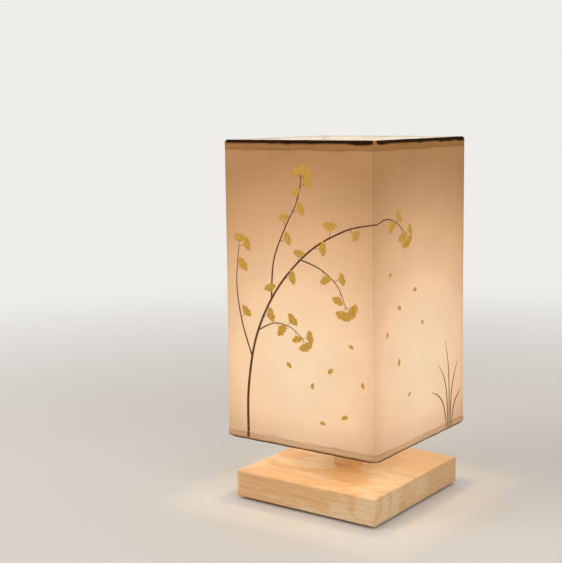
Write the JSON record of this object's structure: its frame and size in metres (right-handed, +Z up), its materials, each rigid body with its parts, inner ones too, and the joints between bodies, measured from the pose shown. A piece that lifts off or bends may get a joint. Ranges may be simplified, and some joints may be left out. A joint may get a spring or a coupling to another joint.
{
  "type": "table lamp",
  "caption": "Small table lamp: square fabric shade on a wire frame, clamped to a screw lampholder on a square wooden block.",
  "frame": {"origin": "centre of the lamp's footprint, on the surface that it stands on", "axes": "+Z up along the lampholder, -Y towards the front panel, +X towards the right panel, +Y towards the cord hole"},
  "size_m": [0.148, 0.148, 0.3105],
  "materials": {
    "pale_wood": "fine sanded, clear oil",
    "dark_rubber": "matt",
    "zinc_steel": "zinc plated",
    "white_plastic": "moulded, fine satin",
    "porcelain": "glazed",
    "brass": "bright",
    "frame_paint": "satin powder coat",
    "shade_cloth": "plain weave, lit from within",
    "solder": "dull",
    "black_insulator": "glossy",
    "bulb_metal": "rolled thread",
    "clear_glass": "clear",
    "lead_wire": "drawn",
    "hot_filament": "glowing"
  },
  "bodies": {
    "root": {"base_block": "pale_wood", "foot_pads": "dark_rubber", "threaded_tube": "zinc_steel", "base_washer": "zinc_steel", "base_nut": "zinc_steel", "stem_sleeve": "pale_wood", "holder_cap": "white_plastic", "neck_screw": "zinc_steel", "holder_insert": "porcelain", "terminal_screws": "brass", "centre_contact": "brass", "screw_shell": "brass", "holder_skirt": "white_plastic"},
    "shade": {"fitter_ring": "frame_paint", "spider_arms": "frame_paint", "bottom_ring": "frame_paint", "top_ring": "frame_paint", "corner_rods": "frame_paint", "panel_front": "shade_cloth", "panel_right": "shade_cloth", "panel_back": "shade_cloth", "panel_left": "shade_cloth"},
    "clamp_nut": {"shade_ring": "white_plastic"},
    "bulb_tip": {"bulb_contact": "solder"},
    "bulb": {"bulb_insulator": "black_insulator", "bulb_cap": "bulb_metal", "bulb_glass": "clear_glass", "bulb_stem": "clear_glass", "bulb_leads": "lead_wire", "bulb_filament": "hot_filament"}
  },
  "joints": [
    {"name": "shade_swivel", "type": "hinge", "parent": "root", "child": "shade", "pos_m": [0, 0, 0.072], "axis": [0, 0, 1], "continuous": true},
    {"name": "nut_rise", "type": "slide", "parent": "root", "child": "clamp_nut", "axis": [0, 0, 1], "range_m": [0, 0.01]},
    {"name": "bulb_rise", "type": "slide", "parent": "root", "child": "bulb_tip", "axis": [0, 0, 1], "range_m": [0, 0.01089]},
    {"name": "bulb_turn", "type": "hinge", "parent": "bulb_tip", "child": "bulb", "pos_m": [0, 0, 0.069], "axis": [0, 0, 1], "range_deg": [0, 1080]}
  ],
  "couplings": [
    {"joint": "bulb_turn", "follows": "bulb_rise", "rad_per_m": 1731.4}
  ]
}
